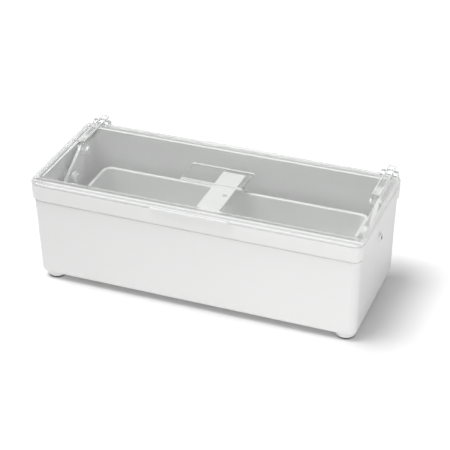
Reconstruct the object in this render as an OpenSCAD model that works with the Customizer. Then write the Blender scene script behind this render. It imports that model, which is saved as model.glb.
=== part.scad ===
// Disinfection tray: a white bath with a clear hinged lid. Opening the lid lifts the insert tray
// out of the liquid on two lift plates, one at each end.
// X runs along the bath, +Y is the hinge side, Z is up. The origin is on the standing surface, under
// the middle of the whole object.

/* [Bath] */
// Length over the collar
tub_l = 340; // [320:1:380]
// Width over the collar
tub_w = 140; // [130:1:160]
// Height from the underside of the bath to the top of its collar
tub_h = 104; // [102:1:130]
// Height of the thickened collar at the top
collar_h = 16; // [12:0.5:22]
// How far the collar stands out from the wall below it
collar_step = 2; // [1:0.25:3]
// Wall and floor thickness
wall = 3; // [2.5:0.25:4]
// Draft of each end wall, top to bottom
end_draft = 2; // [1:0.25:4]
// Draft of the front and back walls, top to bottom
side_draft = 3; // [2:0.25:5]
// Outside radius of the upright corners
corner_r = 10; // [8:0.5:14]
// Radius of the outside bottom edge
bottom_r = 6; // [3:0.5:7]
// Radius of the inside bottom edge
inside_r = 3; // [2:0.25:4]

/* [Feet] */
// Height of the moulded boss above each pad
boss_h = 4; // [2:0.25:5]
// Diameter of the boss
boss_d = 20; // [16:0.5:22]
// Thickness of the rubber pad
pad_t = 2; // [1.5:0.25:3]
// Diameter of the rubber pad
pad_d = 18; // [12:0.5:19]
// Diameter of the peg that holds the pad in its boss
peg_d = 6; // [4:0.25:8]
// Length of the peg
peg_h = 3; // [2:0.25:4]
// Middle of a foot to the end of the collar
foot_end_inset = 17; // [16:0.5:30]
// Middle of a foot to the front or back of the collar
foot_side_inset = 18; // [17:0.5:30]

/* [Lid] */
// Thickness of the clear sheet
lid_t = 2; // [1.5:0.25:3]
// Height of the flat panel over the rim of the lid
bevel_rise = 1.2; // [0.5:0.1:2]
// Width of the bevelled border at the front and back
bevel_side = 12.5; // [9:0.5:18]
// Width of the bevelled border at the ends
bevel_end = 9.5; // [8:0.5:9.5]
// Width of the flat rim that lies on the collar
seat_w = 6; // [5:0.25:7]
// Length of the grip lips at the front and back
grip_l = 81; // [50:1:120]
// How far the front grip stands out past the collar
grip_reach = 2.5; // [1:0.25:4]
// How far the back lip stands out past the collar
back_lip = 1.5; // [0.5:0.25:2]
// Length of the raised finger pad on the lid
finger_pad_l = 64; // [40:1:90]
// Width of the raised finger pad on the lid
finger_pad_w = 34; // [20:1:40]
// Height of the raised finger pad
finger_pad_h = 1; // [0.5:0.1:1.5]
// Middle of the finger pad behind the middle of the bath
finger_pad_y = 5; // [0:0.5:12]

/* [Hinge] */
// Hinge axis behind the back of the collar
hinge_back = 2; // [1.5:0.25:3]
// Hinge axis above the top of the collar
hinge_up = 0; // [0:0.25:1]
// Radius of the knuckle on each lid arm
knuckle_r = 4.5; // [4:0.25:5]
// Radius of the bracket ears
ear_r = 5; // [4.5:0.25:6]
// Thickness of a bracket ear
ear_t = 4; // [3:0.25:4.5]
// Diameter of the hinge pin
hinge_pin_d = 3; // [2:0.25:4]
// Thickness of the bracket plate
bracket_t = 2.5; // [2:0.25:3.5]
// Bottom of the bracket below the top of the collar
bracket_drop = 15; // [14:0.5:15.5]
// Diameter of the bracket screws
bracket_screw_d = 3; // [2:0.25:3.5]
// Distance between the two screws of a bracket
bracket_screw_gap = 10; // [8:0.5:11]
// Bracket screws above the bottom of the bracket
bracket_screw_up = 3.5; // [3:0.25:4]
// How far the hinge pin stands out of its bracket at each end
pin_end = 0.5; // [0:0.25:1]
// Width of a lid arm
arm_w = 8; // [7:0.25:9]
// Thickness of a lid arm
arm_t = 2; // [1.5:0.25:3]
// Middle of a lid arm to the end of the collar
arm_inset = 14; // [13.5:0.25:17]
// How far each lid arm reaches behind the hinge axis
arm_tail = 10; // [4:0.25:10]
// Largest opening angle of the lid
lid_angle = 90; // [60:5:90]

/* [Lift plates] */
// Lift pin in front of the hinge axis
lift_reach = 46; // [40:0.5:46.5]
// Lift pin below the hinge axis
lift_drop = 8; // [7:0.25:8.5]
// Diameter of the lift pin
lift_pin_d = 4; // [3:0.25:5]
// Diameter of the lift pin's head
lift_head_d = 7; // [6:0.25:8]
// Thickness of the lift pin's head
lift_head_t = 2.5; // [1.5:0.25:3]
// Thickness of the lug on the lid arm
lug_t = 4.5; // [3.5:0.25:4.5]
// Radius of the lug around the lift pin
lug_r = 5; // [4:0.25:5.5]
// Thickness of a lift plate
plate_t = 3; // [2:0.25:3.25]
// Radius of the plate around the lift pin
apex_r = 4.5; // [4:0.25:5]
// Slope of the plate's front edge
plate_slope = 28; // [24:1:32]
// Height of the plate's bottom edge over the floor of the bath
plate_floor_gap = 2.5; // [1.5:0.25:4]
// Rim of plate left in front of the tongue slot
front_rim = 4; // [3:0.25:4.5]
// Rim of plate left behind the tongue slot
rear_rim = 3; // [2:0.25:3]
// Corner cut off the top of the plate's front edge, measured along the bath's width
nose_run = 6; // [3:0.5:10]
// Corner cut off the top of the plate's front edge, measured upward
nose_drop = 8; // [4:0.5:12]
// Corner cut off the bottom of the plate's front edge
heel_cut = 3; // [1:0.5:4]
// Straight part of the plate's back edge below the lift pin
back_straight = 17; // [12:0.5:22]
// Slanted part of the plate's back edge ends this far below the lift pin
back_slant = 41; // [34:0.5:46]
// Thickness of the pin clip
clip_t = 1; // [0.75:0.25:1.5]
// Diameter of the pin clip
clip_d = 8; // [6:0.25:9]

/* [Guide screws] */
// Guide screw below the top of the collar
guide_drop = 27.6; // [26:0.2:28]
// Diameter of the guide screw
guide_screw_d = 4; // [3:0.25:4.5]
// Diameter of the screw head
guide_head_d = 7; // [6:0.25:9]
// Thickness of the screw head
guide_head_t = 1.5; // [1.2:0.1:2]
// Outside diameter of the guide bush
bush_d = 6; // [5.5:0.25:6.5]
// Diameter of the guide nut
nut_d = 13; // [10:0.5:14]
// Thickness of the guide nut
nut_t = 6; // [4:0.25:7]
// Thickness of the seal under the screw head
seal_t = 0.5; // [0.4:0.1:1]
// Diameter of the flat boss on the end wall
guide_boss_d = 12; // [10:0.5:14]
// Height of the boss inside the end wall
boss_inside = 2; // [1.5:0.25:2.5]
// Height of the boss outside the end wall
boss_outside = 0.4; // [0.3:0.1:1]
// Closed end of the guide nut
nut_cap = 1.5; // [1:0.25:2]

/* [Insert tray] */
// Gap between the tray's rim and a lift plate
tray_end_gap = 12.5; // [11:0.25:16]
// Gap between the tray's rim and the side walls at the top of the bath
tray_side_gap = 12.5; // [12:0.25:16]
// Rim of the tray below the top of the collar
tray_rim_drop = 38; // [34:0.5:42]
// Underside of the tray over the floor of the bath
tray_floor_gap = 5; // [4:0.25:5.5]
// Wall thickness of the tray
tray_wall = 2; // [1.5:0.25:3]
// Draft of the tray walls, top to bottom
tray_draft = 4; // [2:0.25:6]
// Outside radius of the tray's rim corners
tray_r = 10; // [8:0.5:14]
// Radius of the tray's bottom edge
tray_fillet = 4; // [2:0.25:4]
// Width of the bead round the tray's rim
bead_w = 2; // [1:0.25:3]
// Height of the bead
bead_h = 2.5; // [1.5:0.25:4]
// Diameter of the drain holes
drain_d = 6; // [4:0.5:8]
// Distance from one drain hole to the next
drain_pitch = 18; // [14:0.5:24]

/* [Runners] */
// Length of a runner along the tray's end
runner_l = 40; // [30:1:40]
// Height of the runner's tongue
runner_h = 4; // [3:0.25:4.5]
// Tongue above the underside of the tray
runner_up = 2; // [1.5:0.25:2.5]
// Thickness of the flat pad under a runner, at the foot of the tray's end wall
runner_pad_t = 3; // [2.5:0.25:4]
// Thickness of the runner's flange
flange_t = 3; // [2:0.25:4]
// Height of the runner's flange
flange_h = 15; // [12:0.5:18]
// Travel of the tray along its lift plates
tray_travel = 30; // [28:0.5:30]
// Diameter of the runner and bridge screws
small_screw_d = 3; // [2:0.25:3]
// Distance between the two screws of a runner
runner_screw_gap = 24; // [16:1:28]

/* [Bridge handle] */
// Width of the bridge
bridge_w = 24; // [16:1:40]
// Thickness of the bridge
bridge_t = 3; // [2:0.25:4]
// Clear height between the tray's rim and the bridge
bridge_up = 14.5; // [12:0.5:16]
// Thickness of the bridge's feet, which stand on the tray's rim
bridge_foot_t = 4; // [3:0.25:4]
// Depth of the tongues inside the tray
bridge_tongue = 13; // [10:0.5:16]
// Thickness of the tongues
bridge_tongue_t = 2.5; // [2:0.25:3]
// Width of the tongues
bridge_tongue_w = 8; // [7:0.5:10]

/* [Clearances] */
// Lid rim above the collar
lid_gap = 0.2; // [0.1:0.05:0.4]
// Between pieces that pass each other
pass_gap = 0.4; // [0.3:0.05:0.6]
// Tongue in its slot, and bush in its slot, on each side
slide_gap = 0.3; // [0.25:0.05:0.4]
// Turning pin in its bore, on the radius
run_gap = 0.06; // [0.02:0.01:0.1]
// Fixed pin or screw in its hole, on the radius
fix_gap = 0.02; // [0.01:0.01:0.05]

/* [Hidden] */
$fn = 64;
LEFT = -1;
RIGHT = 1;
hull_fn = 32;
arc_step = 15;
// Overshoot of the cutting shapes, and height of the upright band at the top of a drafted box
cut = 1;
top_band = 1;
// Gap at the tip of a screw in its blind hole, and wall left beyond that hole
tip_gap = 0.5;
tip_wall = 1;
// Corner radii of the lid's details
panel_r = 3;
seat_r = 6;
grip_r = 2;

// Bath levels and inside sizes
foot_h = pad_t + boss_h;
tub_top = foot_h + tub_h;
floor_z = foot_h + wall;
collar_bottom = tub_top - collar_h;
body_l = tub_l - 2 * collar_step;
body_w = tub_w - 2 * collar_step;
body_r = corner_r - collar_step;
inside_l = body_l - 2 * wall;
inside_w = body_w - 2 * wall;

// Hinge axis, lift pin and guide screw as [y, z]
hinge = [tub_w / 2 + hinge_back, tub_top + hinge_up];
lift_pin = hinge - [lift_reach, lift_drop];
guide = [0, tub_top - guide_drop];

// The whole object is centred front to back on the standing surface
rear_reach = hinge[0] + max(ear_r, arm_tail);
front_reach = tub_w / 2 + grip_reach;
y_shift = (front_reach - rear_reach) / 2;

// Lid levels
lid_under = tub_top + lid_gap;
lid_edge_top = lid_under + lid_t;
panel_top = lid_edge_top + bevel_rise;
panel_l = tub_l - 2 * bevel_end;
panel_w = tub_w - 2 * bevel_side;

// Places along the bath, measured from its middle
arm_x = tub_l / 2 - arm_inset;
arm_in = arm_x - arm_w / 2;
arm_out = arm_x + arm_w / 2;
ear_in = arm_in - pass_gap - ear_t;
ear_out = arm_out + pass_gap + ear_t;
plate_in = arm_in + lug_t + pass_gap;
plate_out = plate_in + plate_t;
nut_face = plate_in - pass_gap;

// The guide screw passes through a flat boss on the drafted end wall, its faces at whole tenths
guide_wall_in = inside_l / 2 - end_draft * guide_drop / (tub_top - floor_z);
guide_wall_out = body_l / 2 - end_draft * guide_drop / tub_h;
boss_in = round(10 * (guide_wall_in - boss_inside)) / 10;
boss_out = round(10 * (guide_wall_out + boss_outside)) / 10;
guide_screw_l = boss_out + seal_t - nut_face + nut_t - nut_cap - tip_gap;
bracket_screw_l = bracket_t + collar_step + wall - tip_wall - tip_gap;
bracket_head_r = 0.85 * bracket_screw_d;
bracket_head_t = 0.5 * bracket_screw_d;

// Insert tray
tray_rim_z = tub_top - tray_rim_drop;
tray_z = floor_z + tray_floor_gap;
tray_h = tray_rim_z - tray_z;
tray_l = 2 * (plate_in - tray_end_gap);
tray_w = inside_w - 2 * tray_side_gap;
shell_l = tray_l - 2 * bead_w;
shell_w = tray_w - 2 * bead_w;
shell_r = tray_r - bead_w;
pad_face = shell_l / 2 - tray_draft + runner_pad_t;
pad_margin = 1;
tongue_z = tray_z + runner_up;
tongue_recess = 1.2;
tongue_end = plate_out - tongue_recess;
flange_face = pad_face + flange_t;
runner_screw_z = tongue_z + runner_h + (flange_h - runner_h) / 2;
small_head_r = 0.9 * small_screw_d;
small_head_t = 0.5 * small_screw_d;
runner_screw_l = flange_t + runner_pad_t + tip_gap;

// Lift plate: the guide slot is the path of the guide screw as the plate swings up with the lid
slot_centre = guide + lift_pin - hinge;
slot_radius = norm(hinge - lift_pin);
slot_turn = atan2(lift_drop, lift_reach);
slot_half = bush_d / 2 + slide_gap;
plate_bottom = floor_z + plate_floor_gap;
plate_rear = runner_l / 2 + slide_gap + rear_rim;
plate_front = -runner_l / 2 - tray_travel - slide_gap - front_rim;
edge_normal = [-sin(plate_slope), cos(plate_slope)];
edge_start = lift_pin + apex_r * edge_normal;
front_corner_y = plate_front + nose_run;
front_corner_z = edge_start[1] - (edge_start[0] - front_corner_y) * tan(plate_slope);
apex_back = lift_pin[0] + apex_r;

// Bridge handle
bridge_under = tray_rim_z + bridge_up;
bridge_half = tray_w / 2;
tongue_out = shell_w / 2 - tray_wall - tray_draft * bridge_tongue / tray_h - slide_gap;
tongue_in = tongue_out - bridge_tongue_t;
bridge_screw_z = tray_rim_z - bridge_tongue / 2;
bridge_screw_l = bridge_tongue_t + slide_gap + tray_draft * bridge_tongue / (2 * tray_h) + tray_wall / 2;

module seated() {
    translate([0, y_shift, 0]) children();
}

module on_side(side) {
    mirror([side == LEFT ? 1 : 0, 0, 0]) children();
}

// An outline drawn as [y, z], extruded along X from x0 to x1
module along_x(x0, x1) {
    translate([x0, 0, 0]) rotate([90, 0, 90]) linear_extrude(x1 - x0) children();
}

// A round bar along X from x0 to x1 through the point [y, z]
module bar_x(point, d, x0, x1) {
    translate([x0, point[0], point[1]]) rotate([0, 90, 0]) cylinder(d = d, h = x1 - x0);
}

// A round bar along Y from y0 to y1
module bar_y(x, z, d, y0, y1) {
    translate([x, y0, z]) rotate([-90, 0, 0]) cylinder(d = d, h = y1 - y0);
}

module rounded_rect(l, w, r) {
    square([l - 2 * r, w], center = true);
    square([l, w - 2 * r], center = true);
    for (sx = [-1, 1], sy = [-1, 1])
        translate([sx * (l / 2 - r), sy * (w / 2 - r)]) circle(r);
}

// One upright corner with a rounded foot
module corner_foot(r, fillet) {
    rotate_extrude($fn = hull_fn) polygon(concat(
        [[0, fillet], [0, 0]],
        [for (a = [-90:arc_step:0]) [r - fillet + fillet * cos(a), fillet + fillet * sin(a)]]
    ));
}

// A box with drafted walls, rounded corners and a rounded bottom edge; l and w are its sizes at the top
module drafted_box(l, w, draft_x, draft_y, r, fillet, z0, z1) {
    hull() for (sx = [-1, 1], sy = [-1, 1]) {
        translate([sx * (l / 2 - draft_x - r), sy * (w / 2 - draft_y - r), z0]) corner_foot(r, fillet);
        translate([sx * (l / 2 - r), sy * (w / 2 - r), z1 - top_band])
            cylinder(r = r, h = top_band, $fn = hull_fn);
    }
}

// Pan-head screw along +X, its head outside the face at x = 0 and its shank reaching in to -length
module pan_screw(d, length, head_r, head_t) {
    recess = head_t / 2;
    recess_l = 1.5 * head_r;
    recess_w = 0.45 * head_r;
    difference() {
        union() {
            rotate([0, -90, 0]) cylinder(d = d, h = length);
            rotate([0, 90, 0]) cylinder(r = head_r, h = head_t);
        }
        for (turn = [0, 90])
            rotate([turn, 0, 0]) translate([head_t - recess, -recess_l / 2, -recess_w / 2])
                cube([recess + cut, recess_l, recess_w]);
    }
}

module foot_places(sx, sy) {
    translate([sx * (tub_l / 2 - foot_end_inset), sy * (tub_w / 2 - foot_side_inset), 0]) children();
}

module knuckle_pocket() {
    translate([arm_in - pass_gap, hinge[0] - knuckle_r - pass_gap, hinge[1] - knuckle_r - pass_gap])
        cube([arm_w + 2 * pass_gap, tub_w, tub_h]);
}

module bracket_screw_places() {
    for (x = [arm_x - bracket_screw_gap / 2, arm_x + bracket_screw_gap / 2])
        translate([x, tub_w / 2 + bracket_t, tub_top - bracket_drop + bracket_screw_up])
            rotate([0, 0, 90]) children();
}

module tub() {
    color("whitesmoke") difference() {
        union() {
            difference() {
                union() {
                    drafted_box(body_l, body_w, end_draft, side_draft, body_r, bottom_r, foot_h, tub_top);
                    translate([0, 0, collar_bottom]) linear_extrude(collar_h)
                        rounded_rect(tub_l, tub_w, corner_r);
                    for (sx = [-1, 1], sy = [-1, 1])
                        foot_places(sx, sy) translate([0, 0, pad_t]) cylinder(d = boss_d, h = boss_h + wall);
                }
                drafted_box(inside_l, inside_w, end_draft, side_draft, body_r - wall / 2, inside_r,
                    floor_z, tub_top + cut);
            }
            for (side = [LEFT, RIGHT])
                on_side(side) bar_x(guide, guide_boss_d, boss_in, boss_out);
        }
        for (side = [LEFT, RIGHT]) on_side(side) {
            bar_x(guide, guide_screw_d + 2 * fix_gap, boss_in - cut, boss_out + cut);
            knuckle_pocket();
            bracket_screw_places() rotate([0, -90, 0])
                cylinder(d = bracket_screw_d + 2 * fix_gap, h = bracket_screw_l + tip_gap);
        }
        for (sx = [-1, 1], sy = [-1, 1])
            foot_places(sx, sy) translate([0, 0, pad_t - cut])
                cylinder(d = peg_d + 2 * fix_gap, h = cut + peg_h + tip_gap);
    }
}

module foot_pad(sx, sy) {
    color("dimgray") foot_places(sx, sy) {
        cylinder(d = pad_d, h = pad_t);
        cylinder(d = peg_d, h = pad_t + peg_h);
    }
}

module hinge_bracket(side) {
    back = tub_w / 2;
    plate_foot = tub_top - bracket_drop;
    plate_top = hinge[1] - knuckle_r - pass_gap;
    ear_foot = plate_foot + bracket_screw_up + bracket_head_r + pass_gap;
    color("lightcyan", 0.35) on_side(side) difference() {
        union() {
            along_x(ear_in, ear_out)
                translate([back, plate_foot]) square([bracket_t, plate_top - plate_foot]);
            for (x = [ear_in, ear_out - ear_t]) along_x(x, x + ear_t) difference() {
                union() {
                    translate(hinge) circle(ear_r);
                    translate([back, ear_foot]) square([hinge_back + ear_r, hinge[1] - ear_foot]);
                }
                square([back, tub_top]);
            }
        }
        bar_x(hinge, hinge_pin_d + 2 * fix_gap, ear_in - cut, ear_out + cut);
        bracket_screw_places() rotate([0, -90, 0])
            cylinder(d = bracket_screw_d + 2 * fix_gap, h = bracket_t + cut);
    }
}

module bracket_screws() {
    color("silver") for (side = [LEFT, RIGHT]) on_side(side) bracket_screw_places()
        pan_screw(bracket_screw_d, bracket_screw_l, bracket_head_r, bracket_head_t);
}

module hinge_pin(side) {
    color("silver") on_side(side) bar_x(hinge, hinge_pin_d, ear_in - pin_end, ear_out + pin_end);
}

module guide_screw(side) {
    color("dimgray") on_side(side) translate([boss_out + seal_t, guide[0], guide[1]])
        pan_screw(guide_screw_d, guide_screw_l, guide_head_d / 2, guide_head_t);
}

module guide_seal(side) {
    color("lightgray") on_side(side) difference() {
        bar_x(guide, guide_head_d + 2 * seal_t, boss_out, boss_out + seal_t);
        bar_x(guide, guide_screw_d + 2 * fix_gap, boss_out - cut, boss_out + seal_t + cut);
    }
}

module guide_bush(side) {
    color("lightgray") on_side(side) difference() {
        bar_x(guide, bush_d, nut_face, boss_in);
        bar_x(guide, guide_screw_d + 2 * fix_gap, nut_face - cut, boss_in + cut);
    }
}

module guide_nut(side) {
    color("white") on_side(side) difference() {
        union() {
            bar_x(guide, nut_d, nut_face - nut_t + nut_cap, nut_face);
            bar_x(guide, nut_d - 2 * nut_cap, nut_face - nut_t, nut_face);
        }
        bar_x(guide, guide_screw_d + 2 * fix_gap, nut_face - nut_t + nut_cap, nut_face + cut);
    }
}

module lug_slot() {
    translate([arm_in - slide_gap, lift_pin[0] - lug_r - slide_gap, lid_under - cut])
        cube([lug_t + 2 * slide_gap, 2 * (lug_r + slide_gap), tub_h]);
}

module lid_panel() {
    color("lightcyan", 0.35) difference() {
        union() {
            hull() {
                translate([0, 0, lid_under]) linear_extrude(lid_t)
                    rounded_rect(tub_l, tub_w, corner_r, $fn = hull_fn);
                translate([0, 0, lid_edge_top]) linear_extrude(bevel_rise)
                    rounded_rect(panel_l, panel_w, panel_r, $fn = hull_fn);
            }
            translate([0, (back_lip - grip_reach) / 2, lid_under]) linear_extrude(lid_t)
                rounded_rect(grip_l, tub_w + grip_reach + back_lip, grip_r);
            translate([0, finger_pad_y, panel_top - cut]) linear_extrude(finger_pad_h + cut)
                rounded_rect(finger_pad_l, finger_pad_w, grip_r);
        }
        hull() {
            translate([0, 0, lid_under - cut]) linear_extrude(cut)
                rounded_rect(tub_l - 2 * seat_w, tub_w - 2 * seat_w, seat_r, $fn = hull_fn);
            translate([0, 0, lid_under]) linear_extrude(bevel_rise)
                rounded_rect(panel_l, panel_w, panel_r, $fn = hull_fn);
        }
        for (side = [LEFT, RIGHT]) on_side(side) {
            lug_slot();
            translate([ear_in - pass_gap, hinge[0] - ear_r - 2 * pass_gap, lid_under - cut])
                cube([tub_l, tub_w, tub_h]);
        }
    }
}

module lid_arm(side) {
    color("lightcyan", 0.35) on_side(side) difference() {
        union() {
            along_x(arm_in, arm_out) {
                translate(hinge) circle(knuckle_r);
                translate([lift_pin[0] - lug_r, panel_top])
                    square([lift_reach + lug_r + arm_tail, arm_t]);
            }
            along_x(arm_in, arm_in + lug_t) {
                translate(lift_pin) circle(lug_r);
                translate([lift_pin[0] - lug_r, lift_pin[1]])
                    square([2 * lug_r, panel_top + arm_t - lift_pin[1]]);
            }
        }
        bar_x(hinge, hinge_pin_d + 2 * run_gap, arm_in - cut, arm_out + cut);
        bar_x(lift_pin, lift_pin_d + 2 * fix_gap, arm_in - cut, arm_out + cut);
    }
}

module lift_pin(side) {
    color("white") on_side(side) {
        bar_x(lift_pin, lift_head_d, arm_in - lift_head_t, arm_in);
        bar_x(lift_pin, lift_pin_d, arm_in - lift_head_t, plate_out + pass_gap + clip_t + tip_gap);
    }
}

module pin_clips() {
    color("silver") for (side = [LEFT, RIGHT]) on_side(side) difference() {
        bar_x(lift_pin, clip_d, plate_out + pass_gap, plate_out + pass_gap + clip_t);
        bar_x(lift_pin, lift_pin_d + 2 * fix_gap, plate_out, plate_out + pass_gap + clip_t + cut);
    }
}

// The part of a ring about slot_centre that the guide screw sweeps through, with round ends
module guide_slot() {
    far = 2 * slot_radius;
    start = slot_turn - lid_angle;
    translate(slot_centre) {
        intersection() {
            difference() {
                circle(slot_radius + slot_half);
                circle(slot_radius - slot_half);
            }
            polygon(concat([[0, 0]], [for (i = [0:2])
                far * [cos(start + i * lid_angle / 2), sin(start + i * lid_angle / 2)]]));
        }
        for (a = [start, slot_turn])
            translate(slot_radius * [cos(a), sin(a)]) circle(slot_half);
    }
}

module lift_plate(side) {
    color("gainsboro") on_side(side) difference() {
        along_x(plate_in, plate_out) difference() {
            union() {
                translate(lift_pin) circle(apex_r);
                polygon([
                    edge_start, [front_corner_y, front_corner_z], [plate_front, front_corner_z - nose_drop],
                    [plate_front, plate_bottom + heel_cut], [plate_front + heel_cut, plate_bottom],
                    [plate_rear, plate_bottom], [plate_rear, lift_pin[1] - back_slant],
                    [apex_back, lift_pin[1] - back_straight], [apex_back, lift_pin[1]], lift_pin
                ]);
            }
            guide_slot();
            translate([-runner_l / 2 - tray_travel - slide_gap, tongue_z - slide_gap])
                square([runner_l + tray_travel + 2 * slide_gap, runner_h + 2 * slide_gap]);
        }
        bar_x(lift_pin, lift_pin_d + 2 * run_gap, plate_in - cut, plate_out + cut);
    }
}

module drain_holes() {
    span_x = shell_l - 2 * (tray_draft + tray_wall + tray_fillet) - drain_d;
    span_y = shell_w - 2 * (tray_draft + tray_wall + tray_fillet) - drain_d;
    count_x = floor(span_x / drain_pitch);
    count_y = floor(span_y / drain_pitch);
    for (i = [0:count_x], j = [0:count_y])
        translate([(i - count_x / 2) * drain_pitch, (j - count_y / 2) * drain_pitch, tray_z - cut])
            cylinder(d = drain_d, h = tray_wall + 2 * cut);
}

module runner_screw_places() {
    for (s = [-1, 1])
        translate([flange_face, s * runner_screw_gap / 2, runner_screw_z]) children();
}

module bridge_screw_places() {
    for (s = [-1, 1])
        translate([-s * (bridge_w - bridge_tongue_w) / 2, s * tongue_in, bridge_screw_z])
            rotate([0, 0, -s * 90]) children();
}

module insert_tray() {
    inner_l = shell_l - 2 * tray_wall;
    inner_w = shell_w - 2 * tray_wall;
    color("gainsboro") difference() {
        union() {
            drafted_box(shell_l, shell_w, tray_draft, tray_draft, shell_r, tray_fillet, tray_z, tray_rim_z);
            translate([0, 0, tray_rim_z - bead_h]) linear_extrude(bead_h)
                rounded_rect(tray_l, tray_w, tray_r);
            for (side = [LEFT, RIGHT]) on_side(side)
                translate([pad_face - 2 * runner_pad_t, -runner_l / 2 - pad_margin, tongue_z - pad_margin])
                    cube([2 * runner_pad_t, runner_l + 2 * pad_margin, flange_h + 2 * pad_margin]);
        }
        drafted_box(inner_l, inner_w, tray_draft, tray_draft, shell_r - tray_wall / 2, tray_fillet,
            tray_z + tray_wall, tray_rim_z + cut);
        drain_holes();
        for (side = [LEFT, RIGHT]) on_side(side) runner_screw_places()
            rotate([0, -90, 0]) cylinder(d = small_screw_d + 2 * fix_gap, h = runner_screw_l + tip_gap / 2);
        bridge_screw_places() rotate([0, -90, 0])
            cylinder(d = small_screw_d + 2 * fix_gap, h = bridge_screw_l + tip_gap);
    }
}

module tray_runner(side) {
    color("white") on_side(side) difference() {
        union() {
            translate([pad_face, -runner_l / 2, tongue_z]) cube([flange_t, runner_l, flange_h]);
            translate([pad_face, -runner_l / 2, tongue_z]) cube([tongue_end - pad_face, runner_l, runner_h]);
        }
        runner_screw_places() rotate([0, -90, 0])
            cylinder(d = small_screw_d + 2 * fix_gap, h = flange_t + cut);
    }
}

module runner_screws() {
    color("silver") for (side = [LEFT, RIGHT]) on_side(side) runner_screw_places()
        pan_screw(small_screw_d, runner_screw_l, small_head_r, small_head_t);
}

module bridge_handle() {
    color("white") difference() {
        union() {
            translate([-bridge_w / 2, -bridge_half, bridge_under])
                cube([bridge_w, 2 * bridge_half, bridge_t]);
            for (turn = [0, 180]) rotate([0, 0, turn]) {
                translate([-bridge_w / 2, bridge_half - bridge_foot_t, tray_rim_z])
                    cube([bridge_w, bridge_foot_t, bridge_up + cut]);
                translate([-bridge_w / 2, tongue_in, tray_rim_z])
                    cube([bridge_tongue_w, bridge_half - tongue_in, bridge_up + cut]);
                translate([-bridge_w / 2, tongue_in, tray_rim_z - bridge_tongue])
                    cube([bridge_tongue_w, bridge_tongue_t, bridge_tongue + cut]);
            }
        }
        bridge_screw_places() rotate([0, -90, 0])
            cylinder(d = small_screw_d + 2 * fix_gap, h = bridge_tongue_t + cut);
    }
}

module bridge_screws() {
    color("silver") bridge_screw_places()
        pan_screw(small_screw_d, bridge_screw_l, small_head_r, small_head_t);
}

seated() tub();
seated() foot_pad(-1, -1);  // front_left_foot
seated() foot_pad(1, -1);  // front_right_foot
seated() foot_pad(-1, 1);  // rear_left_foot
seated() foot_pad(1, 1);  // rear_right_foot
seated() hinge_bracket(LEFT);  // left_hinge_bracket
seated() hinge_bracket(RIGHT);  // right_hinge_bracket
seated() bracket_screws();
seated() hinge_pin(LEFT);  // left_hinge_pin
seated() hinge_pin(RIGHT);  // right_hinge_pin
seated() guide_screw(LEFT);  // left_guide_screw
seated() guide_screw(RIGHT);  // right_guide_screw
seated() guide_bush(LEFT);  // left_guide_bush
seated() guide_bush(RIGHT);  // right_guide_bush
seated() guide_nut(LEFT);  // left_guide_nut
seated() guide_nut(RIGHT);  // right_guide_nut
seated() guide_seal(LEFT);  // left_guide_seal
seated() guide_seal(RIGHT);  // right_guide_seal
seated() lid_panel();
seated() lid_arm(LEFT);  // left_lid_arm
seated() lid_arm(RIGHT);  // right_lid_arm
seated() lift_pin(LEFT);  // left_lift_pin
seated() lift_pin(RIGHT);  // right_lift_pin
seated() pin_clips();
seated() lift_plate(LEFT);  // left_lift_plate
seated() lift_plate(RIGHT);  // right_lift_plate
seated() insert_tray();
seated() bridge_handle();
seated() bridge_screws();
seated() tray_runner(LEFT);  // left_tray_runner
seated() tray_runner(RIGHT);  // right_tray_runner
seated() runner_screws();
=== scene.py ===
import bpy
import numpy as np
from mathutils import Matrix, Vector


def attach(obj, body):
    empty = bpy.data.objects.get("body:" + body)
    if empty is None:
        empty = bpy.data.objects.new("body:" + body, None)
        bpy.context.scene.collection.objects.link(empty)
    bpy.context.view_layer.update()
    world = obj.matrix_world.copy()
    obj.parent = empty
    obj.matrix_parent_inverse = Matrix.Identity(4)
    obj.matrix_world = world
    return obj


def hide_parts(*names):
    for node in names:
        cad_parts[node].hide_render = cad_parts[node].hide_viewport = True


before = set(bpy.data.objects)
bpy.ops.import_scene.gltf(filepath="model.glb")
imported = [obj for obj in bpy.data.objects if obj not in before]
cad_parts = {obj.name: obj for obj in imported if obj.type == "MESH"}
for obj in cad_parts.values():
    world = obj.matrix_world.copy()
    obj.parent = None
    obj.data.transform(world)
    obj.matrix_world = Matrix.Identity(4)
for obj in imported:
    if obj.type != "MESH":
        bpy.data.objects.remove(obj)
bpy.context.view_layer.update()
scene = bpy.context.scene
scene.view_settings.view_transform = "Standard"

# The camera: a long lens a metre and a half away, to the right of the bath's middle and well above it,
# tipped about its own axis by half a degree.
mm = 0.001
bath_y = -4.75
azimuth, elevation, roll = np.radians([21.55, 31.16, -0.46])
target, distance = np.array([0, bath_y, 57.9]) * mm, 1508.6 * mm
right = np.array([np.cos(azimuth), np.sin(azimuth), 0])
back = np.array([np.sin(azimuth) * np.cos(elevation),
                 -np.cos(azimuth) * np.cos(elevation), np.sin(elevation)])
up = np.cross(back, right)
right, up = right * np.cos(roll) + up * np.sin(roll), up * np.cos(roll) - right * np.sin(roll)
lens = bpy.data.cameras.new("camera")
lens.lens, lens.sensor_width = 121.04, 36
lens.shift_x, lens.shift_y = 0.02, 0.004
camera = bpy.data.objects.new("camera", lens)
place = np.column_stack([right, up, back, target + distance * back])
camera.matrix_world = Matrix(np.vstack([place, [0, 0, 0, 1]]).tolist())
scene.collection.objects.link(camera)
scene.camera = camera


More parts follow.
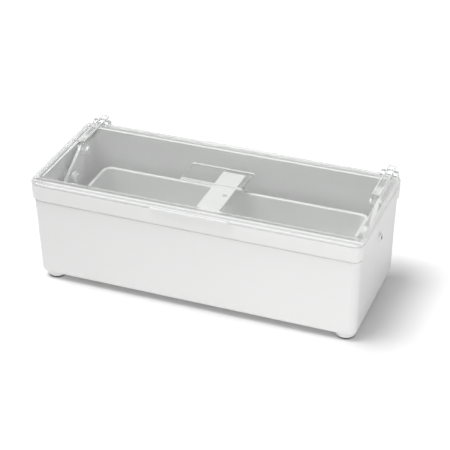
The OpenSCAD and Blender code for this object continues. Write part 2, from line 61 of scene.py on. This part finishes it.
# The table: a white sheet lit like the rest, which shows a little of its own light to the eye and in
# reflections, less beside the bath, so that it is plain white elsewhere and keeps the bath's shadow.
class Value:
    """One output socket of a node. Sums and products of values and numbers add Math nodes."""

    def __init__(self, finish, socket):
        self.finish, self.socket = finish, socket

    def reckon(self, operation, *terms):
        sockets = dict(enumerate(terms))
        return self.finish.node("ShaderNodeMath", {"operation": operation}, sockets)["Value"]

    def __add__(self, other):
        return self.reckon("ADD", self, other)

    def __radd__(self, other):
        return self.reckon("ADD", other, self)

    def __sub__(self, other):
        return self.reckon("SUBTRACT", self, other)

    def __rsub__(self, other):
        return self.reckon("SUBTRACT", other, self)

    def __mul__(self, other):
        return self.reckon("MULTIPLY", self, other)

    def __rmul__(self, other):
        return self.reckon("MULTIPLY", other, self)

    def __truediv__(self, other):
        return self.reckon("DIVIDE", self, other)

    def __abs__(self):
        return self.reckon("ABSOLUTE", self)

    def most(self, other):
        return self.reckon("MAXIMUM", self, other)

    def least(self, other):
        return self.reckon("MINIMUM", self, other)

    def held(self, top=1):
        """The value, kept between nought and the top."""
        return self.most(0).least(top)

    def root(self):
        return self.reckon("SQRT", self)


class Finish:
    """The nodes of one material, or of the room's light."""

    def __init__(self, owner):
        owner.use_nodes = True
        self.owner, self.tree = owner, owner.node_tree
        self.tree.nodes.clear()

    def node(self, kind, settings=None, sockets=None):
        """Adds a node: its settings first, then its sockets by name or number; gives its outputs by name."""
        made = self.tree.nodes.new(kind)
        for name, value in (settings or {}).items():
            setattr(made, name, value)
        for name, value in (sockets or {}).items():
            by_name = [s for s in made.inputs if s.name == name and s.enabled]
            socket = by_name[0] if by_name else made.inputs[name]
            if isinstance(value, Value):
                self.tree.links.new(value.socket, socket)
            else:
                socket.default_value = value
        return {s.name: Value(self, s) for s in made.outputs if s.enabled}

    def place(self):
        """The place on the piece, in metres."""
        return self.node("ShaderNodeTexCoord")["Object"]

    def split(self, place):
        """The three numbers of a place."""
        return self.node("ShaderNodeSeparateXYZ", None, {"Vector": place}).values()

    def noise(self, place, scale, detail):
        """Soft noise between nought and one, finer with a larger scale."""
        sockets = {"Vector": place, "Scale": scale, "Detail": detail}
        return self.node("ShaderNodeTexNoise", None, sockets)["Fac"]

    def blend(self, share, first, second):
        """A colour between two others, by the share of the second."""
        sockets = {"Factor": share, "A": first, "B": second}
        return self.node("ShaderNodeMix", {"data_type": "RGBA"}, sockets)["Result"]

    def seen(self):
        """1 for what the eye sees straight on, in a reflection or through something clear, and 0 for light
        that a matt surface has already scattered."""
        path = self.node("ShaderNodeLightPath")
        eye = path["Is Camera Ray"] + path["Is Glossy Ray"] + path["Is Transmission Ray"]
        return eye * (1 - path["Diffuse Depth"].least(1))


table_half = 3
table_corners = [(sx * table_half, sy * table_half, 0) for sx, sy in ((-1, -1), (1, -1), (1, 1), (-1, 1))]
table_mesh = bpy.data.meshes.new("table")
table_mesh.from_pydata(table_corners, [], [(0, 1, 2, 3)])
table = bpy.data.objects.new("table", table_mesh)
scene.collection.objects.link(table)
sheet = Finish(bpy.data.materials.new("white_sheet"))
matt = sheet.node("ShaderNodeBsdfDiffuse", None, {"Color": (0.92, 0.92, 0.92, 1)})["BSDF"]
x, y, _ = sheet.split(sheet.place())
near_x, near_y, fade_x, fade_y = np.array([180, 77, 70, 30]) * mm
near_glow, more_glow = 0.09, 0.12
away = ((abs(y) - near_y) / fade_y).most((abs(x) - near_x) / fade_x)
level = near_glow + more_glow * away.held()
tone = sheet.node("ShaderNodeCombineXYZ", None, {"X": level, "Y": level, "Z": level})["Vector"]
glow = sheet.node("ShaderNodeEmission", None, {"Color": tone, "Strength": 1.0})["Emission"]
both = sheet.node("ShaderNodeAddShader", None, {0: matt, 1: glow})["Shader"]
mixed = sheet.node("ShaderNodeMixShader", None, {0: sheet.seen(), 1: matt, 2: both})["Shader"]
sheet.node("ShaderNodeOutputMaterial", None, {"Surface": mixed})
table_mesh.materials.append(sheet.owner)

# The studio: a white room all round, a wide soft lamp overhead and a little to the left, and a weaker strip
# low in front on the right that keeps the walls from going dark and leaves the shadow on the table.
scene.world = bpy.data.worlds.new("studio")
room = Finish(scene.world)
room_light = 0.32
strength = room_light + (1 - room_light) * room.seen()
walls = room.node("ShaderNodeBackground", None, {"Color": (1, 1, 1, 1), "Strength": strength})["Background"]
room.node("ShaderNodeOutputWorld", None, {"Surface": walls})
top_lamp = bpy.data.lights.new("top_lamp", "SUN")
top_lamp.energy, top_lamp.angle = 2.15, np.radians(32)
front_lamp = bpy.data.lights.new("front_lamp", "AREA")
front_lamp.energy, front_lamp.shape = 2.0, "RECTANGLE"
front_lamp.size, front_lamp.size_y = 0.7, 0.12
for lamp, stands in ((top_lamp, (-0.3, -0.14, 0.94)), (front_lamp, (0.55, -0.8, 0.085))):
    holder = bpy.data.objects.new(lamp.name, lamp)
    holder.location = stands
    holder.rotation_euler = Vector(stands).to_track_quat("Z", "Y").to_euler()
    scene.collection.objects.link(holder)

# The bath: one white injection moulding. Its walls lean out a little so that it leaves the mould, a thick
# collar stiffens the mouth, and bosses stand under the corners and on the end walls for the guide screws.
def rounded_rings(rows, centre_x=0, centre_y=bath_y, steps=10):
    """Rings of a rounded rectangle, one for each row of half length, half width, corner radius and height.
    A ring is four quarter circles, each about a point one radius in from both sides, joined by straight
    runs."""
    half_l, half_w, radius, height = np.asarray(rows, float).T[:, :, None] * mm
    turn = (np.linspace(0, np.pi / 2, steps + 1) + np.arange(4)[:, None] * np.pi / 2).ravel()
    side_x = np.repeat([1, -1, -1, 1], steps + 1)
    side_y = np.repeat([1, 1, -1, -1], steps + 1)
    x = centre_x * mm + side_x * (half_l - radius) + radius * np.cos(turn)
    y = centre_y * mm + side_y * (half_w - radius) + radius * np.sin(turn)
    return np.stack([x, y, height + 0 * x], -1)


def turned_rings(rows, centre, axis=2, steps=40):
    """Rings of a turned piece, one for each row of radius and distance along the axis: the radius times the
    cosine and sine of the turn across the axis, and the distance along it."""
    radius, along = np.asarray(rows, float).T[:, :, None] * mm
    turn = np.linspace(0, 2 * np.pi, steps, endpoint=False)
    local = np.stack([radius * np.cos(turn), radius * np.sin(turn), along + 0 * turn * radius], -1)
    return np.roll(local, axis - 2, axis=-1) + np.asarray(centre) * mm


def skin(name, *grids):
    """A mesh over one or more stacks of rings: quads between neighbouring rings, each closed on itself, and
    the first and last ring of a stack filled in."""
    points, faces, start = [], [], 0
    for grid in grids:
        index = start + np.arange(grid.shape[0] * grid.shape[1]).reshape(grid.shape[:2])
        after = np.roll(index, -1, axis=1)
        quads = np.stack([index[:-1], after[:-1], after[1:], index[1:]], -1).reshape(-1, 4)
        faces += quads.tolist() + [index[0, ::-1].tolist(), index[-1].tolist()]
        points.append(grid.reshape(-1, 3))
        start += index.size
    mesh = bpy.data.meshes.new(name)
    mesh.from_pydata(np.concatenate(points).tolist(), [], faces)
    piece = bpy.data.objects.new(name, mesh)
    scene.collection.objects.link(piece)
    return piece


def inset_rows(half_l, half_w, radius, inset, height):
    """Rows of one outline moved in by each inset, its corners with it, at each height."""
    inset, height = np.broadcast_arrays(np.asarray(inset, float), height)
    return np.column_stack([half_l - inset, half_w - inset, radius - inset, height])


def bend_rows(outline, radius, first, last, height, steps=5, side=1):
    """Rows that follow an arc from the first to the last angle, its middle at the height. The outline of
    half length, half width and corner radius lies one radius outside that middle, or inside it where the
    side is -1, and is moved in and up by the radius times the cosine and the sine."""
    turn = np.radians(np.linspace(first, last, steps + 1))
    return inset_rows(*outline, side * radius - radius * np.cos(turn), height + radius * np.sin(turn))


def join(piece, other, operation):
    """Adds the other shape to a piece or cuts it out of it, and drops the other shape."""
    cut = piece.modifiers.new(operation, "BOOLEAN")
    cut.object, cut.operation, cut.solver = other, operation, "EXACT"
    solved = piece.evaluated_get(bpy.context.evaluated_depsgraph_get())
    mesh = bpy.data.meshes.new_from_object(solved)
    piece.modifiers.clear()
    piece.data = mesh
    bpy.data.objects.remove(other)


def even_shading(piece, angle=32):
    """Shades smooth across edges below the angle, with flat faces kept flat."""
    piece.data.shade_smooth()
    piece.data.set_sharp_from_angle(angle=np.radians(angle))
    weigh = piece.modifiers.new("even", "WEIGHTED_NORMAL")
    weigh.keep_sharp, weigh.weight = True, 80


def moulded(name, colour, roughness, cloud=0.02, grain=0.012, mark=None, mark_colour=(0.3, 0.3, 0.3)):
    """A moulded plastic: its colour drifts a little over the piece, its gloss varies in soft patches, and a
    fine grain from the mould breaks up the reflections. A mark, worked out from the place, gets a colour of
    its own, which on the lift plates' edges is painted light and shade."""
    finish = Finish(bpy.data.materials.new(name))
    place = finish.place()
    drift, fine = finish.noise(place, 9.0, 2.0), finish.noise(place, 1400.0, 2.0)
    gloss = roughness - 0.04 + 0.08 * finish.noise(place, 60.0, 3.0)
    darker = tuple(c * (1 - cloud) for c in colour)
    base = finish.blend(drift, (*darker, 1), (*colour, 1))
    if mark:
        base = finish.blend(mark(*finish.split(place)), base, (*mark_colour, 1))
    bump = finish.node("ShaderNodeBump", None, {
        "Strength": 0.25, "Distance": grain * mm, "Height": fine})["Normal"]
    shader = finish.node("ShaderNodeBsdfPrincipled", None, {
        "Base Color": base, "Roughness": gloss, "Normal": bump, "IOR": plastic_ior})["BSDF"]
    finish.node("ShaderNodeOutputMaterial", None, {"Surface": shader})
    return finish.owner


plastic_ior = 1.49
foot, collar_foot, collar = (166, 65, 8), (169.5, 69.5, 9.5), (170, 70, 10)
mouth, floor = (165, 65, 6.5), (163.05, 62.1, 6.5)
groove = [[167.6, 67.4, 8, 90.7], [166.9, 66.7, 7.3, 91.1], [166.9, 66.7, 7.3, 94]]
bath_rows = np.concatenate([
    bend_rows(foot, 6, -90, 0, 12, 7),
    groove,
    bend_rows(collar_foot, 0.6, -90, 0, 94.6, 3),
    bend_rows(collar, 2.2, 0, 90, 107.8),
    bend_rows(mouth, 0.7, 90, 180, 109.3, 4, -1),
    bend_rows(floor, 3, 0, -90, 12),
])
tub = skin("bath_tub", rounded_rings(bath_rows))
guide_z, arm_x, pocket_y = 82.4, 156, 87.1 + bath_y
end_boss = [(0.01, 162.5), (5.7, 162.5), (6, 162.8), (6, 167.6), (5.7, 167.9), (0.01, 167.9)]
arm_pocket = [[4.4, 20, 0.6, 105.1], [4.4, 20, 0.6, 120]]
for side in (-1, 1):
    rings = turned_rings(end_boss, (0, bath_y, guide_z), 0)
    join(tub, skin("boss", rings if side > 0 else (rings * (-1, 1, 1))[:, ::-1]), "UNION")
    join(tub, skin("pocket", rounded_rings(arm_pocket, side * arm_x, pocket_y, 3)), "DIFFERENCE")
foot_x, foot_y = 153, 52
corners = [(sx * foot_x, sy * foot_y + bath_y) for sx in (-1, 1) for sy in (-1, 1)]
foot_boss = [(9.4, 2), (10, 2.6), (10, 7.5)]
for x, y in corners:
    join(tub, skin("boss", turned_rings(foot_boss, (x, y, 0))), "UNION")
even_shading(tub)
white_plastic = moulded("white_plastic", (0.86, 0.862, 0.856), 0.4)
tub.data.materials.clear()
tub.data.materials.append(white_plastic)
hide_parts("tub")
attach(tub, "bath")

# The foot pads: dark rubber discs with a rounded rim, each moulded in one with its peg and pushed by it into
# a boss under the bath. Their flat faces stand on the table.
pad_rows = [(0.01, 0), (7.9, 0), (8.6, 0.25), (8.9, 0.6), (9, 1), (8.9, 1.6), (8.6, 2),
            (3, 2), (3, 4.8), (0.01, 5)]
rubber = moulded("rubber", (0.035, 0.035, 0.037), 0.75, 0.3, 0.03)
for name, (x, y) in zip(("front_left", "rear_left", "front_right", "rear_right"), corners):
    pad = skin(name + "_pad", turned_rings(pad_rows, (x, y, 0)))
    even_shading(pad, 50)
    pad.data.materials.append(rubber)
    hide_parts(name + "_foot")
    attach(pad, "bath")


# The fittings of the hinge and of the guide screws: steel pins and screws, pale cap nuts, sleeves of slide
# plastic and thin white rings. They are the solids themselves with their edges broken.
def break_edges(node, width, material, steps=2):
    """Merges a solid's loose triangles, takes the width off its edges, and gives it a finish."""
    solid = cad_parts[node]
    weld = solid.modifiers.new("weld", "WELD")
    weld.merge_threshold = 0.002 * mm
    flat = solid.modifiers.new("flat", "DECIMATE")
    flat.decimate_type, flat.angle_limit = "DISSOLVE", np.radians(0.5)
    edge = solid.modifiers.new("edge", "BEVEL")
    edge.width, edge.segments = width * mm, steps
    edge.limit_method, edge.angle_limit = "ANGLE", np.radians(40)
    even = solid.modifiers.new("even", "WEIGHTED_NORMAL")
    even.keep_sharp = True
    solid.data.materials.clear()
    solid.data.materials.append(material)


def brushed(name, colour, roughness, recess=None):
    """Bare metal with fine turning marks: stretched noise sets its gloss and a faint bump. A recess, worked
    out from the place, is painted dark as shade."""
    finish = Finish(bpy.data.materials.new(name))
    place = finish.place()
    stretched = finish.node("ShaderNodeMapping", None, {
        "Vector": place, "Scale": (300.0, 4000.0, 4000.0)})["Vector"]
    marks = finish.noise(stretched, 1.0, 3.0)
    gloss = roughness - 0.1 + 0.2 * marks
    bump = finish.node("ShaderNodeBump", None, {
        "Strength": 0.2, "Distance": 0.01 * mm, "Height": marks})["Normal"]
    base, dark = (*colour, 1), (0.02, 0.02, 0.02, 1)
    if recess:
        base = finish.blend(recess(*finish.split(place)), base, dark)
    shader = finish.node("ShaderNodeBsdfPrincipled", None, {
        "Base Color": base, "Metallic": 1.0, "Roughness": gloss, "Normal": bump})["BSDF"]
    finish.node("ShaderNodeOutputMaterial", None, {"Surface": shader})
    return finish.owner


def screw_recess_painted_shade(x, y, z):
    """1 where a guide screw's head is painted dark as shade: a round patch within its rim, with a bar left
    across it.
    """
    hollow_r, bar_half = 2.7 * mm, 0.35 * mm
    up, along = z - guide_z * mm, y - bath_y * mm
    hollow = ((hollow_r - (up * up + along * along).root()) / (0.2 * mm)).held()
    return hollow * ((abs(up) - bar_half) / (0.1 * mm)).held()


steel = brushed("stainless_steel", (0.56, 0.56, 0.57), 0.32)
# The guide screws' heads get a painted shade in their recesses.
screw_steel_recess_shade = brushed("screw_steel_recess_shade", (0.85, 0.85, 0.86), 0.3, screw_recess_painted_shade)
slide_plastic = moulded("slide_plastic", (0.78, 0.78, 0.77), 0.45)
nut_plastic = moulded("nut_plastic", (0.68, 0.684, 0.678), 0.5)
for side in ("left", "right"):
    break_edges(side + "_hinge_pin", 0.25, steel)
    break_edges(side + "_guide_screw", 0.2, screw_steel_recess_shade)
    break_edges(side + "_guide_bush", 0.15, slide_plastic)
    break_edges(side + "_guide_nut", 0.6, nut_plastic)
    break_edges(side + "_guide_seal", 0.1, white_plastic)
break_edges("bracket_screws", 0.15, steel)

# The lid: a clear moulded sheet. A flat rim rests on the collar, a mitred bevel leads up to the raised
# panel, a grip stands out in front and a shorter lip behind, and a raised pad marks the place for a finger.
panel_x, panel_y = 160.5, 57.5
finger_pad, finger_pad_y = (32, 17, 2), 5


def clear_finish(name, tint, roughness, frost_and_highlights, shade=None, crease=None):
    """Clear plastic: it bends what is seen through it, and light on its way to what lies below passes
    straight through, less the shade. Frost and painted highlights make it look white, and a painted shade
    makes it grey in a crease. All three are shares worked out from the place."""
    finish = Finish(bpy.data.materials.new(name))
    place = finish.place()
    haze = finish.noise(place, 40.0, 3.0)
    clear = finish.node("ShaderNodeBsdfPrincipled", None, {
        "Base Color": (*tint, 1), "Roughness": roughness + 0.03 * haze, "IOR": plastic_ior,
        "Transmission Weight": 1.0})["BSDF"]
    x, y, _ = finish.split(place)
    frost_and_highlight_colour, crease_shade_grey = (0.94, 0.944, 0.94, 1), (0.4, 0.405, 0.4, 1)
    # A crease is painted grey as shade.
    if crease:
        frost_and_highlight_colour = finish.blend(crease(x, y), frost_and_highlight_colour, crease_shade_grey)
    white = finish.node("ShaderNodeBsdfPrincipled", None, {
        "Base Color": frost_and_highlight_colour, "Roughness": 0.25 + 0.1 * haze, "IOR": plastic_ior})["BSDF"]
    body = finish.node("ShaderNodeMixShader", None, {0: frost_and_highlights(x, y), 1: clear, 2: white})["Shader"]
    through = finish.node("ShaderNodeBsdfTransparent", None, {"Color": (0.975, 0.98, 0.975, 1)})["BSDF"]
    path = finish.node("ShaderNodeLightPath")
    passing = path["Is Shadow Ray"] + path["Is Diffuse Ray"]
    if shade:
        passing = passing * (1 - shade(x, y))
    shader = finish.node("ShaderNodeMixShader", None, {0: passing, 1: body, 2: through})["Shader"]
    finish.node("ShaderNodeOutputMaterial", None, {"Surface": shader})
    return finish.owner


def beyond_ridge(x, y):
    """How far a place on the lid lies outside the ridge round its panel."""
    return (abs(x) - panel_x * mm).most(abs(y - bath_y * mm) - panel_y * mm)


def line(distance, half_width):
    """1 within half a width of the place where the distance is nought, fading out beyond it."""
    return (1.5 - abs(distance) / (half_width * mm)).held()


def front_crease_shade(x, y):
    """A painted shade: the dark line where the front bevel meets the panel."""
    between = ((161 * mm - abs(x)) / mm).held()
    return line((bath_y - 61.4) * mm - y, 0.9) * between


def pad_highlight_lines(x, y):
    """The finger pad's outline as a painted highlight, bright along its back and front and faint at its
    ends.
    """
    half_l, half_w, _ = finger_pad
    back = y - (finger_pad_y + bath_y) * mm
    outside = (abs(x) - half_l * mm).most(abs(back) - half_w * mm)
    outline = ((0.75 - abs(outside / mm + 0.4)).most(0) * 5).least(1)
    back_edge = ((back - 15 * mm) / mm).held(0.85)
    front_edge = ((-15.5 * mm - back) / mm).held(0.85)
    return outline * (0.1 + back_edge + front_edge)


def front_highlights_and_border(x, y):
    """The matt border in front with three painted highlight lines, all of them painted weaker towards the
    left end as shade, and a painted pale line behind the crease."""
    ahead = bath_y * mm - y
    band = ((ahead - 62 * mm) / mm).held(0.55)
    for place, half_width in ((64.6, 1.4), (69.6, 1), (72.2, 0.9)):
        band = band.most(line(ahead - place * mm, half_width))
    band = band * (0.6 + (x + 165 * mm) / (60 * mm)).most(0.6).least(1)
    highlight_behind_crease = 0.45 * line(ahead - 59.2 * mm, 0.7)
    return band.most(0.65 * front_crease_shade(x, y)).most(highlight_behind_crease)


def highlight_lines_and_border(x, y):
    """Where the lid looks white: painted highlights as fading lines along its outline, the ridge round the
    panel and the finger pad's outline, and a matt border painted strongest in front and weakest on the left."""
    half_l, half_w, corner = collar
    across, along = abs(x), abs(y - bath_y * mm)
    corner_x, corner_y = (across - (half_l - corner) * mm).most(0), (along - (half_w - corner) * mm).most(0)
    rim = 0.8 - abs((corner_x * corner_x + corner_y * corner_y).root() - 9.9 * mm) / (0.8 * mm)
    back_half = (y / mm).held()
    # The ridge's painted highlight fades out at the right end and is wider behind.
    right_end = ((x - 155 * mm) / (5 * mm)).held(0.6)
    ridge = (1.2 - abs(beyond_ridge(x, y)) / ((0.8 + 0.6 * back_half) * mm)) * (1 - right_end)
    ridge = ridge * ((y - (bath_y - 56) * mm) / mm).held()
    back_band = ((y - (bath_y + 60) * mm) / mm).held(0.15)
    right_band = ((x - 161.2 * mm) / mm).held(0.2)
    lines = rim.most(ridge).most(pad_highlight_lines(x, y)).most(front_highlights_and_border(x, y))
    return lines.most(back_band).most(right_band).held(0.92)


def border_shade(x, y):
    """The share of light that the thick bevelled border turns aside."""
    return 0.8 * (beyond_ridge(x, y) / mm).held()


under_panel = [[panel_x, panel_y, 3, 111.4], [164, 64, 6, 110.2]]
over_panel = [[160.9, 57.9, 3.4, 113.27], [160.2, 57.2, 2.8, 113.35]]
lid_rows = np.concatenate([
    under_panel,
    bend_rows(collar, 0.5, -90, 0, 110.7, 3),
    bend_rows(collar, 0.5, 0, 70, 111.7, 3),
    over_panel,
])
lid = skin("clear_lid", rounded_rings(lid_rows))
for middle, reach in ((-69.25, 3.25), (68.75, 2.75)):
    grip = inset_rows(40.5, reach, 2, [0.4, 0, 0, 0.4], [110.2, 110.6, 111.8, 112.2])
    join(lid, skin("grip", rounded_rings(grip, 0, middle + bath_y, 4)), "UNION")
pad = inset_rows(*finger_pad, [0, 0, 0.25, 0.8], [113, 113.7, 114.15, 114.4])
join(lid, skin("pad", rounded_rings(pad, 0, finger_pad_y + bath_y, 4)), "UNION")
cut_z = [109, 116]
lug_slot, bracket_notch = inset_rows(2.55, 5.3, 0.3, 0, cut_z), inset_rows(20, 20, 0.3, 0, cut_z)
slot_x, slot_y, notch_x, notch_y = 154.25, 26 + bath_y, 167.2, 86.2 + bath_y
for side in (-1, 1):
    join(lid, skin("slot", rounded_rings(lug_slot, side * slot_x, slot_y, 2)), "DIFFERENCE")
    join(lid, skin("notch", rounded_rings(bracket_notch, side * notch_x, notch_y, 2)), "DIFFERENCE")
even_shading(lid, 25)
# The lid gets painted highlights along its edges, a painted shade in its front crease and a matt border.
clear_plastic = clear_finish("clear_plastic", (0.985, 0.995, 0.991), 0.02, highlight_lines_and_border, border_shade,
                             front_crease_shade)
lid.data.materials.clear()
lid.data.materials.append(clear_plastic)
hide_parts("lid_panel")
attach(lid, "lid")

# The lid's arms and their brackets: clear bars bonded to the lid near its ends, with the hinge knuckle
# behind and a lug in front that carries the white lift pin, and clear ears screwed to the back of the
# collar. A clip holds the pin on its outer end.
def arm_highlight_lines(x, y):
    """Where an arm looks white: painted highlights within a millimetre of its two sides, and about half all
    over its lug.
    """
    across = abs(abs(x) - arm_x * mm)
    lug = (((42 + bath_y) * mm - y) / (20 * mm)).held(0.5)
    return (1.2 - abs(across - 3.8 * mm) / (0.8 * mm)).most(lug).least(0.9)


def milky(x, y):
    """The same share all over, a little more towards the back of a bracket."""
    return 0.3 + ((y - 70 * mm) / (40 * mm)).most(0)


# The arms get painted highlights along their sides.
arm_plastic = clear_finish("arm_plastic", (0.88, 0.89, 0.887), 0.03, arm_highlight_lines)
bracket_plastic = clear_finish("bracket_plastic", (0.97, 0.98, 0.977), 0.05, milky)
for side in ("left", "right"):
    break_edges(side + "_hinge_bracket", 0.5, bracket_plastic)
    break_edges(side + "_lid_arm", 0.4, arm_plastic)
    break_edges(side + "_lift_pin", 0.4, white_plastic)
break_edges("pin_clips", 0.15, steel)

# The lift plates: pale sheets cut from plastic, one at each end, hung from the lift pins. A curved slot runs
# on the guide screw, and the tray's runner slides in a straight one. The left plate's edges are painted
# bright as a highlight and the right one's painted dull as shade.
def painted_edge_light(x, y, z):
    """1 on the edges of a plate, between its two faces."""
    plate_x, edge_half = 158.4 * mm, 1.25 * mm
    return ((edge_half - abs(abs(x) - plate_x)) / (0.15 * mm)).held()


# Painted light: the left plate's edges get a painted highlight and the right one's a painted shade.
for side, painted_edge_colour in (("left", (0.95, 0.952, 0.948)), ("right", (0.62, 0.624, 0.618))):
    sheet_plastic_painted_edges = moulded(side + "_sheet_plastic_painted_edges", (0.81, 0.814, 0.808), 0.42, mark=painted_edge_light,
                            mark_colour=painted_edge_colour)
    break_edges(side + "_lift_plate", 0.35, sheet_plastic_painted_edges)

# The insert tray: a thin moulding with a rolled rim and rows of drain holes through its floor, with a pad on
# each end for a runner.
tray_foot, tray_wall = (138.4, 46.5, 8), [[142.2, 50.3, 8, 69.5]]
tray_rim, tray_mouth, tray_floor = (144.4, 52.5, 10), (140.4, 48.5, 7), (136.7, 44.8, 7)
tray_rows = np.concatenate([
    bend_rows(tray_foot, 4, -90, 0, 18, 6),
    tray_wall,
    bend_rows(tray_rim, 0.8, -90, 0, 70.3, 3),
    bend_rows(tray_rim, 1.4, 0, 90, 70.6),
    bend_rows(tray_mouth, 1.4, 90, 180, 70.6, 5, -1),
    bend_rows(tray_floor, 4, 0, -90, 20, 6),
])
tray = skin("insert_tray_shell", rounded_rings(tray_rows))
runner_pad, runner_pad_x = inset_rows(1.7, 21, 0.6, 0, [15, 32]), 139.7
for side in (-1, 1):
    join(tray, skin("pad", rounded_rings(runner_pad, side * runner_pad_x, bath_y, 2)), "UNION")
pitch, drill = 18, [(3, 13), (3, 17)]
hole_x, hole_y = np.meshgrid((np.arange(15) - 7) * pitch, (np.arange(5) - 2) * pitch + bath_y)
holes = [turned_rings(drill, (x, y, 0), 2, 20) for x, y in zip(hole_x.ravel(), hole_y.ravel())]
join(tray, skin("holes", *holes), "DIFFERENCE")
even_shading(tray)
tray_plastic = moulded("tray_plastic", (0.74, 0.744, 0.736), 0.36)
tray.data.materials.clear()
tray.data.materials.append(tray_plastic)
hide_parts("insert_tray")
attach(tray, "tray")

# The bridge handle and the runners: white mouldings screwed to the tray, the bridge across its middle and a
# runner on each end. The bridge has a small darker round spot on its top.
def darker_spot(x, y, z):
    """A round spot nearly three millimetres in radius, a little behind and to the right of the middle."""
    spot_r, spot_x, spot_y = 2.9, 6.3, 8.2
    x, y = x - spot_x * mm, y - (bath_y + spot_y) * mm
    return (spot_r - (x * x + y * y).root() / mm).held(0.7)


bridge_plastic = moulded("bridge_plastic", (0.78, 0.782, 0.777), 0.38, mark=darker_spot)
break_edges("bridge_handle", 0.8, bridge_plastic, 3)
break_edges("bridge_screws", 0.15, screw_steel_recess_shade)
for side in ("left", "right"):
    break_edges(side + "_tray_runner", 0.4, slide_plastic)
break_edges("runner_screws", 0.15, steel)
